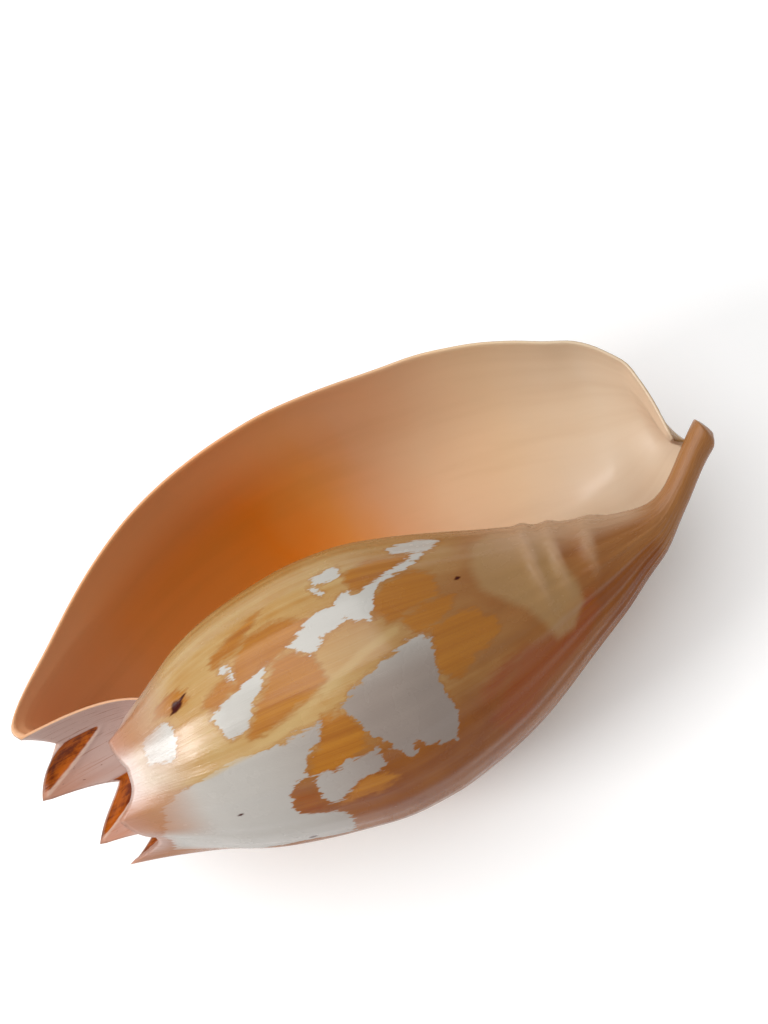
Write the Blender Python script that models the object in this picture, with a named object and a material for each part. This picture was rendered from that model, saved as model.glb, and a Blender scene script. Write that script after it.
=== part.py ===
"""A baler shell, a large thin-walled volute, as one closed solid.

The shell is one sheet of wall rolled round its own axis. A point of the sheet has two shell coordinates:
turn   how far back from the lip it grew, in whorls: 0 is the lip's edge, 1 is one whorl earlier
across where it lies across the sheet: 0 the suture, CROWN the crown of spines, 1 the front end
and a depth from 0, the outside of the wall, to 1, the inside. The sheet is modelled as a flat slab in those
three coordinates, and then every corner of the slab is moved to its place on the shell.

Metres. While it is being rolled the shell's axis is +Z, with the crown up and the lip towards +X. It is then
turned so that it lies on its back with the aperture up.
"""

import math

import bmesh
import bpy
import numpy as np
from mathutils import Euler, Vector

# Driving dimensions
EXPANSION = 2.95  # gain of radius in one whorl
SPIRE_SINK = 0.043  # how far the apex lies below the crown
CROWN_SINK = 0.010  # how much further the crown itself comes down towards the apex
LIP_FADE = 0.25  # whorls over which the flared lip fades into the round body whorl
WHORLS = 2.15  # whorls modelled, from the lip back to the apex
CROWN = 0.24  # place of the crown across the sheet
WALL = 0.0026  # wall thickness
LIP_EDGE = 0.0014  # wall thickness at the lip's edge
SEAM = 0.0003  # gap left where one whorl rolls on to the last
SUTURE = 0.014  # how far down the last whorl's outer wall the new whorl is attached
APEX_RISE = 0.004  # height of the dome that closes the apex
SPINE_HEIGHT = 0.045  # height a spine would have at the lip; the older ones are much lower
SPINES = ((0.20, 0.92), (0.33, 1.05), (0.465, 1.0), (0.64, 1.0), (0.83, 1.0))  # turn and share of that height
SPINE_NEW_SIDE = 0.095  # width of a spine's slope towards the lip
SPINE_OLD_SIDE = 0.065  # width of its slope towards the apex
SPINE_NEW_CURVE = 0.9  # how hollow each slope is: 1 is straight
SPINE_OLD_CURVE = 2.2
CROWN_DIP = (0.25, 0.035, 0.0026)  # a dip in the crown between two spines: turn, width in turns and depth
TIP_CUT = 0.0025  # how far aslant the front end's rim is cut, at the lip's scale
HOLLOW_SPINE = 0.4  # how far the hollow inside the wall follows a spine
CROWN_WALL = 0.0018  # wall thickness at the crown
CROWN_FILL = 2.4  # depth of wall inside the sharp fold of the crown, in wall thicknesses

LYING_ANGLES = (-85.0, -14.5, 88.7)  # turns about X, Y and Z that lay the shell down as it rests
FRONT_END = (0.1354, -0.0109, 0.0506)  # where the foot of the shell's axis, at its front end, comes to lie

# The outer wall from the crown to the front end: share of the way, then radius and height at the lip, then
# the same for the body whorl, whose radii are carried forward to the lip's scale
OUTER_WALL = (
    (0.000, 0.0266, 0.2512, 0.0450, 0.2480),
    (0.012, 0.0301, 0.2528, 0.0484, 0.2446),
    (0.060, 0.0491, 0.2291, 0.0620, 0.2300),
    (0.160, 0.0649, 0.2034, 0.0830, 0.2025),
    (0.230, 0.0735, 0.1836, 0.0910, 0.1820),
    (0.300, 0.0791, 0.1636, 0.0948, 0.1620),
    (0.375, 0.0827, 0.1435, 0.0927, 0.1432),
    (0.450, 0.0848, 0.1233, 0.0857, 0.1250),
    (0.525, 0.0859, 0.1011, 0.0740, 0.1056),
    (0.600, 0.0849, 0.0794, 0.0595, 0.0875),
    (0.675, 0.0811, 0.0611, 0.0476, 0.0736),
    (0.750, 0.0741, 0.0452, 0.0354, 0.0595),
    (0.810, 0.0619, 0.0303, 0.0206, 0.0439),
    (0.870, 0.0444, 0.0208, 0.0113, 0.0275),
    (0.910, 0.0340, 0.0175, 0.0114, 0.0166),
    (0.950, 0.0230, 0.0170, 0.0120, 0.0095),
    (1.000, 0.0078, 0.0180, 0.0078, 0.0080),
)
# The axis leans away from the aperture towards the front end, and its tip turns back: height, then x and y
AXIS_BEND = (
    (-0.020, 0.0055, -0.0020),
    (0.000, 0.0055, -0.0020),
    (0.040, -0.0145, 0.0000),
    (0.085, -0.0104, 0.0021),
    (0.135, -0.0028, -0.0038),
    (0.190, 0.0018, 0.0001),
    (0.260, 0.0009, 0.0000),
)
# Grid of the sheet: number of the grid line, then its turn or its place across
TURN_LINES = (
    (0, 0.0),
    (2, 0.03),
    (8, 0.20),
    (14, 0.33),
    (20, 0.465),
    (27, 0.64),
    (34, 0.83),
    (41, 1.02),
    (70, 2.15),
)
ACROSS_LINES = ((0, 0.0), (7, 0.24), (8, 0.2742), (26, 1.0))
TURN_STEPS = 70
ACROSS_STEPS = 26


def spline(x, knots, values):
    """A smooth curve through the knots that never overshoots them."""
    knots, values = np.asarray(knots, float), np.asarray(values, float)
    step = np.diff(knots)
    rise = np.diff(values) / step
    slope = np.zeros(len(knots))
    for i in range(1, len(knots) - 1):
        if rise[i - 1] * rise[i] > 0:
            slope[i] = 2 / (1 / rise[i - 1] + 1 / rise[i])
    slope[0], slope[-1] = rise[0], rise[-1]
    x = np.clip(x, knots[0], knots[-1])
    i = np.clip(np.searchsorted(knots, x, side="right") - 1, 0, len(step) - 1)
    t = (x - knots[i]) / step[i]
    start = values[i] * (2 * t**3 - 3 * t**2 + 1) + values[i + 1] * (3 * t**2 - 2 * t**3)
    return start + step[i] * (slope[i] * (t**3 - 2 * t**2 + t) + slope[i + 1] * (t**3 - t**2))


def ease(x, start, end):
    t = np.clip((x - start) / (end - start), 0, 1)
    return t * t * (3 - 2 * t)


def scale_at(turn):
    return EXPANSION ** (-turn)


def place(radius, height, turn):
    """A point from its distance to the bent axis, its height and its turn."""
    angle = 2 * math.pi * turn
    bend = np.array(AXIS_BEND)
    x = radius * np.cos(angle) + spline(height, bend[:, 0], bend[:, 1])
    y = radius * np.sin(angle) + spline(height, bend[:, 0], bend[:, 2])
    return np.stack([x, y, height], -1)


def wall_profile(turn, down):
    """Radius and height of the outer wall, with down from 0 at the crown to 1 at the front end."""
    rows = np.array(OUTER_WALL).T
    lip_r, lip_z, body_r, body_z = (spline(down, rows[0], rows[k]) for k in (1, 2, 3, 4))
    lip = np.exp(-((turn / LIP_FADE) ** 2))
    growth = scale_at(turn)
    radius = growth * (body_r + (lip_r - body_r) * lip)
    height = body_z + (lip_z - body_z) * lip
    sink = SPIRE_SINK * (1 - ease(down, 0.0, 0.75)) + CROWN_SINK * (1 - ease(down, 0.0, 0.12))
    aslant = np.cos(2 * math.pi * (turn - 0.95)) * ease(turn, 0.1, 0.4) * ease(down, 0.9, 1.0)
    return radius, height - sink * (1 - growth) + TIP_CUT * growth * aslant


def spine_rise(turn):
    """Height that the spines add to the crown."""
    rise = np.zeros_like(turn)
    for tip, share in SPINES:
        side = np.where(turn < tip, (tip - turn) / SPINE_NEW_SIDE, (turn - tip) / SPINE_OLD_SIDE)
        curve = np.where(turn < tip, SPINE_NEW_CURVE, SPINE_OLD_CURVE)
        rise = np.maximum(rise, share * np.clip(1 - side, 0, 1) ** curve)
    dip_turn, dip_width, dip_depth = CROWN_DIP
    dip = dip_depth * np.exp(-(((turn - dip_turn) / dip_width) ** 2))
    return SPINE_HEIGHT * rise * scale_at(turn) ** 2.5 - dip


def outer_wall(turn, down, spines=1.0):
    radius, height = wall_profile(turn, down)
    height = height + spines * spine_rise(turn) * np.clip(1 - down / 0.10, 0, 1) ** 2
    return place(radius, height, turn)


def outer_normal(turn, down):
    along = outer_wall(turn + 0.004, down, 0) - outer_wall(turn - 0.004, down, 0)
    over = outer_wall(turn, down + 0.005, 0) - outer_wall(turn, down - 0.005, 0)
    normal = np.cross(over, along)
    return normal / np.linalg.norm(normal, axis=-1, keepdims=True)


def thickness(turn, down):
    radius, _ = wall_profile(turn, down)
    crown_radius, _ = wall_profile(turn, 0.0 * turn)
    crown = np.minimum(CROWN_WALL, 0.055 * crown_radius)
    room = radius * (0.42 - 0.20 * ease(down, 0.8, 0.95))
    wall = crown + (np.minimum(WALL, room) - crown) * ease(down, 0.0, 0.14)
    edge = LIP_EDGE + (WALL - LIP_EDGE) * ease(turn, 0.0, 0.05)
    return np.minimum(wall, edge)


def suture_edge(turn, depth):
    """The sheet's edge, resting on the outer wall of the whorl before it, at a depth from 0 to 1."""
    last = turn + 1
    step = outer_wall(last, SUTURE + 0.02, 0) - outer_wall(last, SUTURE, 0)
    per_down = np.linalg.norm(step, axis=-1) / 0.02
    down = SUTURE + depth * thickness(turn, 0.0 * turn) / per_down
    edge = outer_wall(last, down) + SEAM * outer_normal(last, down)
    closed = ease(turn, WHORLS - 1.0, WHORLS - 0.65)[..., None]
    radius, height = wall_profile(turn, 0.0 * turn)
    middle = place(0.0 * turn + 0.0004, height + APEX_RISE - depth * thickness(turn, 0.0 * turn), turn)
    return edge + (middle - edge) * closed


def ramp_bend(turn):
    """The corner that the ramp between suture and crown curves round."""
    foot = suture_edge(turn, 0.0)
    top = outer_wall(turn, 0.0 * turn, 0)
    level = (0.93 - 0.20 * ease(turn, 0.1, 0.9))[..., None]
    return foot + (top - foot) * np.concatenate([level, level, 0.27 + 0 * level], -1)


def sheet(turn, across, spines=1.0):
    """A point of the sheet's outside, or with fewer spines the surface that its hollow follows."""
    down = np.clip((across - CROWN) / (1 - CROWN), 0, 1)
    up = np.clip(across / CROWN, 0, 1)[..., None]
    foot = suture_edge(turn, 0.0)
    top = outer_wall(turn, 0.0 * turn, 0)
    ramp = (1 - up) ** 2 * foot + 2 * up * (1 - up) * ramp_bend(turn) + up**2 * top
    rise = spines * spine_rise(turn)[..., None] * np.clip(1.6 * up - 0.6, 0, 1) ** 2
    ramp = ramp + rise * np.array([0, 0, 1.0])
    return np.where((across < CROWN)[..., None], ramp, outer_wall(turn, down, spines))


def outward(turn, across, spines=1.0):
    """Unit normals of the sheet, over a step long enough to soften the crown's fold."""
    along = sheet(turn + 0.006, across, spines) - sheet(turn - 0.006, across, spines)
    low, high = np.clip(across - 0.012, 0, 1), np.clip(across + 0.012, 0, 1)
    over = sheet(turn, high, spines) - sheet(turn, low, spines)
    normal = np.cross(over, along)
    return normal / np.linalg.norm(normal, axis=-1, keepdims=True)


def outside(turn, across):
    turn, across = np.broadcast_arrays(np.asarray(turn, float), np.asarray(across, float))
    return sheet(turn, across)


def inside(turn, across):
    """The face of the sheet turned to the hollow."""
    down = np.clip((across - CROWN) / (1 - CROWN), 0, 1)
    up = np.clip(across / CROWN, 0, 1)
    wall = thickness(turn, down)[..., None]
    face = sheet(turn, across, HOLLOW_SPINE)
    inward = -wall * outward(turn, across, HOLLOW_SPINE)
    crown = outer_wall(turn, 0.0 * turn, HOLLOW_SPINE)
    ramp_side = ramp_bend(turn) - crown
    wall_side = outer_wall(turn, 0.0 * turn + 0.04, HOLLOW_SPINE) - crown
    fold = ramp_side / np.linalg.norm(ramp_side, axis=-1, keepdims=True)
    fold = fold + wall_side / np.linalg.norm(wall_side, axis=-1, keepdims=True)
    fold = fold / np.linalg.norm(fold, axis=-1, keepdims=True) * CROWN_FILL * wall
    away = np.where(across < CROWN, (1 - up) / 0.14, down / 0.045)
    inward = fold + (inward - fold) * np.clip(away, 0, 1)[..., None]
    at_suture = suture_edge(turn, 1.0) - suture_edge(turn, 0.0)
    rested = (1 - ease(up, 0.0, 0.45))[..., None]
    return face + inward + (at_suture - inward) * rested


def lying(point):
    """From the rolling position to the resting one, on a small flat worn into the shell's back."""
    turned = Euler([math.radians(a) for a in LYING_ANGLES], "XYZ").to_matrix() @ Vector(point)
    place_at_rest = turned + Vector(FRONT_END)
    place_at_rest.z = max(place_at_rest.z, 0.0)
    return place_at_rest


def sheet_slab():
    """The slab, drawn flat as a grid and given its depth, with every corner's shell coordinates."""
    slab = bmesh.new()
    bmesh.ops.create_grid(slab, x_segments=TURN_STEPS, y_segments=ACROSS_STEPS, size=0.5)
    grown = bmesh.ops.extrude_face_region(slab, geom=slab.faces[:])
    inner = [item for item in grown["geom"] if isinstance(item, bmesh.types.BMVert)]
    bmesh.ops.translate(slab, verts=inner, vec=(0, 0, 1))
    bmesh.ops.recalc_face_normals(slab, faces=slab.faces[:])
    corners = np.array([v.co for v in slab.verts])
    turn_lines = np.array(TURN_LINES, float).T
    across_lines = np.array(ACROSS_LINES, float).T
    turn = np.interp((corners[:, 0] + 0.5) * TURN_STEPS, turn_lines[0], turn_lines[1])
    across = np.interp((corners[:, 1] + 0.5) * ACROSS_STEPS, across_lines[0], across_lines[1])
    return slab, turn, across, corners[:, 2:]


def make_shell():
    slab, turn, across, depth = sheet_slab()
    points = outside(turn, across) * (1 - depth) + inside(turn, across) * depth
    for corner, point in zip(slab.verts, points):
        corner.co = lying(point)
    bmesh.ops.triangulate(slab, faces=slab.faces[:])
    mesh = bpy.data.meshes.new("shell")
    slab.to_mesh(mesh)
    slab.free()
    for face in mesh.polygons:
        face.use_smooth = True
    shell = bpy.data.objects.new("shell", mesh)
    bpy.context.collection.objects.link(shell)
    return shell


def porcelain():
    """The glossy cream wall of the shell."""
    material = bpy.data.materials.new("shell_porcelain")
    material.use_nodes = True
    surface = material.node_tree.nodes["Principled BSDF"]
    surface.inputs["Base Color"].default_value = (0.71, 0.45, 0.25, 1)
    surface.inputs["Roughness"].default_value = 0.25
    surface.inputs["Metallic"].default_value = 0.0
    return material


for item in list(bpy.data.objects):
    bpy.data.objects.remove(item, do_unlink=True)
make_shell().data.materials.append(porcelain())
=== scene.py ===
"""How the baler shell looks: its rolled wall, its glaze, patches and growth lines, on a pale studio floor.

The shell is one sheet of wall rolled round its own axis. A point of the sheet has shell coordinates:
turn   how far back from the lip it grew, in whorls: 0 is the lip's edge, 1 is one whorl earlier
across where it lies across the sheet: 0 the suture, CROWN the crown of spines, 1 the front end
depth  0 on the outside of the wall, 1 on the inside
Metres. The shell lies on its back with the aperture up.
"""

import math

import bmesh
import bpy
import numpy as np
from mathutils import Euler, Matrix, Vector


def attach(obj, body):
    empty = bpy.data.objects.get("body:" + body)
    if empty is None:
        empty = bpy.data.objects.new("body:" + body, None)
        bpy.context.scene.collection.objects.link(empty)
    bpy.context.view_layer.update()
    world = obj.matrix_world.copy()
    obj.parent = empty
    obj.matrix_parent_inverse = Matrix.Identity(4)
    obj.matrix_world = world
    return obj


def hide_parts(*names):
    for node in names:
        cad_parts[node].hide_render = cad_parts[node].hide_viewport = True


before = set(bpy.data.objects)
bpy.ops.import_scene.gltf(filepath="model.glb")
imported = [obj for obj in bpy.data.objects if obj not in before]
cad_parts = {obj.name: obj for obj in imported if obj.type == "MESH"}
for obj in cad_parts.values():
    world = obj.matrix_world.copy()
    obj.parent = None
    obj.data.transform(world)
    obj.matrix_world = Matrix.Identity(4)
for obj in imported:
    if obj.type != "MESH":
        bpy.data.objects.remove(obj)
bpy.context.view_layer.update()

# Driving dimensions of the shell
EXPANSION = 2.95  # gain of radius in one whorl
SPIRE_SINK = 0.043  # how far the apex lies below the crown
CROWN_SINK = 0.010  # how much further the crown itself comes down towards the apex
LIP_FADE = 0.25  # whorls over which the flared lip fades into the round body whorl
WHORLS = 2.15  # whorls modelled, from the lip back to the apex
CROWN = 0.24  # place of the crown across the sheet
WALL = 0.0026  # wall thickness
LIP_EDGE = 0.0010  # wall thickness at the lip's edge
SEAM = 0.0003  # gap left where one whorl rolls on to the last
SUTURE = 0.014  # how far down the last whorl's outer wall the new whorl is attached
APEX_RISE = 0.004  # height of the dome that closes the apex
SPINE_HEIGHT = 0.045  # height a spine would have at the lip; the older ones are much lower
# The spines, oldest last: the turn at which each one stands and its share of that height
SPINES = ((0.20, 0.92), (0.33, 1.05), (0.465, 1.0), (0.64, 1.0), (0.83, 1.0))
SPINE_NEW_SIDE = 0.095  # width of a spine's slope towards the lip
SPINE_OLD_SIDE = 0.065  # width of its slope towards the apex
SPINE_NEW_CURVE = 0.9  # how hollow each slope is: 1 is straight
SPINE_OLD_CURVE = 2.2
CROWN_DIP = (0.25, 0.035, 0.0026)  # a dip in the crown between two spines: turn, width in turns and depth
TIP_CUT = 0.0025  # how far aslant the front end's rim is cut, at the lip's scale
HOLLOW_SPINE = 0.4  # how far the hollow inside the wall follows a spine
CROWN_WALL = 0.0018  # wall thickness at the crown
CROWN_FILL = 2.4  # depth of wall inside the sharp fold of the crown, in wall thicknesses
RAMP_FILL_REACH = 0.14  # share of the ramp over which that extra depth runs out
WALL_FILL_REACH = 0.045  # share of the outer wall over which it runs out
LYING_ANGLES = (-85.0, -14.5, 88.7)  # turns about X, Y and Z that lay the shell down as it rests
FRONT_END = (0.1354, -0.0109, 0.0506)  # where the foot of the shell's axis, at its front end, comes to lie

# The outer wall from the crown to the front end: share of the way, then radius and height at the lip, then
# the same for the body whorl, whose radii are carried forward to the lip's scale
OUTER_WALL = (
    (0.000, 0.0266, 0.2512, 0.0450, 0.2480),
    (0.012, 0.0301, 0.2528, 0.0484, 0.2446),
    (0.060, 0.0491, 0.2291, 0.0620, 0.2300),
    (0.160, 0.0649, 0.2034, 0.0830, 0.2025),
    (0.230, 0.0735, 0.1836, 0.0910, 0.1820),
    (0.300, 0.0791, 0.1636, 0.0948, 0.1620),
    (0.375, 0.0827, 0.1435, 0.0927, 0.1432),
    (0.450, 0.0848, 0.1233, 0.0857, 0.1250),
    (0.525, 0.0859, 0.1011, 0.0740, 0.1056),
    (0.600, 0.0849, 0.0794, 0.0595, 0.0875),
    (0.675, 0.0811, 0.0611, 0.0476, 0.0736),
    (0.750, 0.0741, 0.0452, 0.0354, 0.0595),
    (0.810, 0.0619, 0.0303, 0.0206, 0.0439),
    (0.870, 0.0444, 0.0208, 0.0113, 0.0275),
    (0.910, 0.0340, 0.0175, 0.0114, 0.0166),
    (0.950, 0.0230, 0.0170, 0.0120, 0.0095),
    (1.000, 0.0078, 0.0180, 0.0078, 0.0080),
)
# The axis leans away from the aperture towards the front end, and its tip turns back: height, then x and y
AXIS_BEND = (
    (-0.020, 0.0055, -0.0020),
    (0.000, 0.0055, -0.0020),
    (0.040, -0.0145, 0.0000),
    (0.085, -0.0104, 0.0021),
    (0.135, -0.0028, -0.0038),
    (0.190, 0.0018, 0.0001),
    (0.260, 0.0009, 0.0000),
)
# Grid of the sheet: number of the grid line, then its turn or its place across
TURN_LINES = ((0, 0.0), (8, 0.03), (80, 0.42), (220, 1.02), (320, 2.15))
ACROSS_LINES = ((0, 0.0), (34, 0.24), (44, 0.2742), (128, 0.90), (140, 1.0))
TURN_STEPS = 320
ACROSS_STEPS = 140

# Fine relief, all of it on the wall's outer face
SPINE_HOLLOW = 0.0011  # depth of the scoop on the lip side of a spine
SPINE_RIDGE = 0.0007  # height of the ridge that bounds it
RIDGE_SLANT = 3.2  # how fast that ridge leaves the spine's tip
GROWTH_WAVE = 0.00022  # height of the slow waves of growth
PIT = (0.778, 0.321, 0.0016)  # an old borehole: turn, across and radius
PIT_DEPTH = 0.0009
PLEATS = (0.727, 0.762, 0.806)  # places across the sheet of the columella's pleats, at PLEAT_TURN
PLEAT_TURN = 0.75
PLEAT_SLANT = 0.10  # how far a pleat moves across the sheet in one turn
PLEAT_WIDTH = 0.009
PLEAT_HEIGHT = 0.0009
RIM_SWELL = 0.35  # how far the middle of a cut edge stands out, in wall thicknesses
TURN_LENGTH = 0.26  # metres along the body whorl in one turn
ACROSS_LENGTH = 0.33  # metres from the suture to the front end
PATCH_REACH = 0.005  # metres over which the distance to a patch's outline is kept
RIDGE_REACH = 0.0022  # half the width of the light ridge

# Studio
FLOOR_HALF_WIDTH = 30.0
FLOOR_GLOW = (0.12, 0.53)  # the floor's own light, near the shell and far away
FLOOR_GLOW_REACH = (0.6, 2.4)  # distances from the shell at which it starts and stops growing
AIR_LIGHT = 0.38  # light that the pale surroundings cast
AIR_SEEN = 0.88  # how pale the surroundings themselves look
LIGHTS_AIM = (0.0, 0.0, 0.05)  # the middle of the shell
CAMERA_PLACE = (0.0748, -0.1758, 0.4884)
CAMERA_TURNS = (18.74, 17.85, -28.19)  # degrees about X, Y and Z
CAMERA_LENS = 50.24  # millimetres

# Patches on the body whorl's outside, as outlines in turn and across
WHITE_PATCHES = (
    ((0.766, 0.442), (0.749, 0.463), (0.760, 0.477), (0.768, 0.506), (0.774, 0.513),
     (0.762, 0.523), (0.756, 0.538), (0.781, 0.547), (0.805, 0.566), (0.815, 0.595),
     (0.844, 0.621), (0.845, 0.612), (0.823, 0.585), (0.796, 0.536), (0.807, 0.520),
     (0.791, 0.508), (0.795, 0.484), (0.786, 0.472), (0.779, 0.458)),
    ((0.855, 0.505), (0.857, 0.524), (0.838, 0.529), (0.833, 0.519), (0.831, 0.503), (0.846, 0.491)),
    ((0.833, 0.485), (0.832, 0.496), (0.811, 0.501), (0.818, 0.491)),
    ((0.783, 0.373), (0.789, 0.385), (0.769, 0.388), (0.762, 0.388), (0.771, 0.381)),
    ((0.734, 0.350), (0.747, 0.381), (0.762, 0.421), (0.744, 0.410), (0.730, 0.396),
     (0.710, 0.388), (0.702, 0.376), (0.699, 0.361), (0.714, 0.357)),
    ((0.765, 0.269), (0.770, 0.295), (0.753, 0.309), (0.725, 0.307), (0.705, 0.291),
     (0.717, 0.265), (0.738, 0.264)),
    ((0.607, 0.265), (0.641, 0.270), (0.656, 0.287), (0.666, 0.324), (0.674, 0.350),
     (0.675, 0.373), (0.672, 0.399), (0.679, 0.429), (0.677, 0.442), (0.657, 0.429),
     (0.647, 0.415), (0.625, 0.407), (0.621, 0.391), (0.603, 0.383), (0.582, 0.381),
     (0.559, 0.423), (0.506, 0.416), (0.512, 0.364), (0.483, 0.256), (0.550, 0.248)),
    ((0.716, 0.551), (0.722, 0.575), (0.713, 0.586), (0.692, 0.580), (0.663, 0.572),
     (0.629, 0.575), (0.605, 0.567), (0.594, 0.557), (0.604, 0.528), (0.622, 0.517),
     (0.598, 0.509), (0.608, 0.501), (0.630, 0.491), (0.650, 0.477), (0.672, 0.471),
     (0.685, 0.463), (0.696, 0.484), (0.712, 0.538)),
    ((0.623, 0.410), (0.624, 0.434), (0.629, 0.447), (0.630, 0.481), (0.604, 0.475),
     (0.605, 0.456), (0.601, 0.444), (0.581, 0.419), (0.582, 0.409), (0.610, 0.409)),
    ((0.872, 0.585), (0.890, 0.618), (0.882, 0.643), (0.851, 0.628), (0.847, 0.612), (0.859, 0.588)),
)
GOLD_PATCHES = (
    ((0.775, 0.390), (0.804, 0.410), (0.808, 0.438), (0.793, 0.465), (0.788, 0.475),
     (0.780, 0.465), (0.769, 0.443), (0.758, 0.416), (0.743, 0.380), (0.755, 0.382), (0.762, 0.388)),
    ((0.766, 0.435), (0.747, 0.462), (0.735, 0.465), (0.719, 0.466), (0.706, 0.452),
     (0.704, 0.433), (0.696, 0.409), (0.692, 0.390), (0.689, 0.377), (0.710, 0.388),
     (0.727, 0.400), (0.739, 0.414), (0.754, 0.424)),
    ((0.681, 0.446), (0.681, 0.461), (0.672, 0.468), (0.651, 0.475), (0.637, 0.467),
     (0.625, 0.442), (0.622, 0.420), (0.628, 0.410), (0.646, 0.416), (0.654, 0.429)),
    ((0.600, 0.444), (0.605, 0.456), (0.596, 0.473), (0.588, 0.482), (0.579, 0.463),
     (0.579, 0.437), (0.577, 0.418)),
    ((0.781, 0.548), (0.799, 0.566), (0.811, 0.604), (0.796, 0.617), (0.763, 0.614),
     (0.758, 0.594), (0.748, 0.569), (0.748, 0.551), (0.760, 0.552), (0.762, 0.543)),
    ((0.746, 0.569), (0.760, 0.613), (0.754, 0.627), (0.740, 0.619), (0.724, 0.591),
     (0.726, 0.576), (0.738, 0.569)),
    ((0.719, 0.591), (0.729, 0.612), (0.726, 0.640), (0.716, 0.643), (0.703, 0.656),
     (0.688, 0.652), (0.674, 0.631), (0.672, 0.617), (0.656, 0.595), (0.664, 0.583),
     (0.676, 0.577), (0.694, 0.581)),
    ((0.835, 0.529), (0.844, 0.558), (0.845, 0.610), (0.823, 0.588), (0.811, 0.566),
     (0.800, 0.538), (0.817, 0.528)),
    ((0.786, 0.289), (0.806, 0.298), (0.802, 0.325), (0.787, 0.336), (0.775, 0.336),
     (0.771, 0.316), (0.779, 0.300)),
    ((0.805, 0.369), (0.827, 0.406), (0.835, 0.432), (0.799, 0.396), (0.793, 0.371)),
    ((0.751, 0.349), (0.768, 0.367), (0.763, 0.386), (0.750, 0.381), (0.738, 0.361)),
)
BROWN_PATCHES = (
    ((0.615, 0.390), (0.600, 0.395), (0.602, 0.405), (0.588, 0.407), (0.583, 0.397), (0.584, 0.381)),
    ((0.613, 0.627), (0.645, 0.669), (0.626, 0.695), (0.640, 0.720), (0.656, 0.755),
     (0.653, 0.781), (0.595, 0.779), (0.566, 0.740), (0.566, 0.688), (0.565, 0.659),
     (0.541, 0.638), (0.558, 0.607), (0.581, 0.599)),
    ((0.617, 0.602), (0.629, 0.609), (0.644, 0.636), (0.647, 0.668), (0.632, 0.654),
     (0.614, 0.626), (0.609, 0.608)),
)
GLAZE_PATCHES = (
    ((0.865, 0.770), (0.813, 0.772), (0.751, 0.765), (0.691, 0.772), (0.642, 0.767),
     (0.608, 0.735), (0.616, 0.704), (0.653, 0.699), (0.690, 0.689), (0.725, 0.668),
     (0.750, 0.654), (0.788, 0.655), (0.848, 0.669), (0.888, 0.697)),
)
LIGHT_RIDGE = (
    (0.664, 0.259), (0.668, 0.325), (0.674, 0.350), (0.677, 0.374), (0.681, 0.394),
    (0.694, 0.428), (0.710, 0.466), (0.726, 0.509), (0.737, 0.556),
)
SPECKS = (
    (0.781, 0.638, 0.0006), (0.519, 0.378, 0.0007), (0.60, 0.335, 0.0004), (0.790, 0.314, 0.0005),
    (0.772, 0.313, 0.0004), (0.783, 0.333, 0.0004),
)
# The brown strip that the tip's folded edge shows on the inside
TIP_STRIP = (
    (0.205, 0.845), (0.232, 0.878), (0.268, 0.915), (0.31, 0.96), (0.33, 1.01), (0.62, 1.01),
    (0.60, 0.93), (0.45, 0.90), (0.33, 0.885), (0.27, 0.862), (0.235, 0.84),
)


def spline(x, knots, values):
    """A smooth curve through the knots that never overshoots them."""
    knots, values = np.asarray(knots, float), np.asarray(values, float)
    step = np.diff(knots)
    rise = np.diff(values) / step
    slope = np.zeros(len(knots))
    for i in range(1, len(knots) - 1):
        if rise[i - 1] * rise[i] > 0:
            slope[i] = 2 / (1 / rise[i - 1] + 1 / rise[i])
    slope[0], slope[-1] = rise[0], rise[-1]
    x = np.clip(x, knots[0], knots[-1])
    i = np.clip(np.searchsorted(knots, x, side="right") - 1, 0, len(step) - 1)
    t = (x - knots[i]) / step[i]
    start = values[i] * (2 * t**3 - 3 * t**2 + 1) + values[i + 1] * (3 * t**2 - 2 * t**3)
    return start + step[i] * (slope[i] * (t**3 - 2 * t**2 + t) + slope[i + 1] * (t**3 - t**2))


def ease(x, start, end):
    """0 before the start, 1 after the end, and smooth between them. The start may be the larger one."""
    t = np.clip((x - start) / (end - start), 0, 1)
    return t * t * (3 - 2 * t)


def scale_at(turn):
    """The shell's size at a turn, beside its size at the lip."""
    return EXPANSION ** (-turn)


def place(radius, height, turn):
    """A point from its distance to the bent axis, its height and its turn."""
    angle = 2 * math.pi * turn
    bend = np.array(AXIS_BEND)
    x = radius * np.cos(angle) + spline(height, bend[:, 0], bend[:, 1])
    y = radius * np.sin(angle) + spline(height, bend[:, 0], bend[:, 2])
    return np.stack([x, y, height], -1)


def wall_profile(turn, down):
    """Radius and height of the outer wall, with down from 0 at the crown to 1 at the front end."""
    rows = np.array(OUTER_WALL).T
    lip_r, lip_z, body_r, body_z = (spline(down, rows[0], rows[k]) for k in (1, 2, 3, 4))
    lip = np.exp(-((turn / LIP_FADE) ** 2))
    growth = scale_at(turn)
    radius = growth * (body_r + (lip_r - body_r) * lip)
    height = body_z + (lip_z - body_z) * lip
    sink = SPIRE_SINK * (1 - ease(down, 0.0, 0.75)) + CROWN_SINK * (1 - ease(down, 0.0, 0.12))
    aslant = np.cos(2 * math.pi * (turn - 0.95)) * ease(turn, 0.1, 0.4) * ease(down, 0.9, 1.0)
    return radius, height - sink * (1 - growth) + TIP_CUT * growth * aslant


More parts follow.
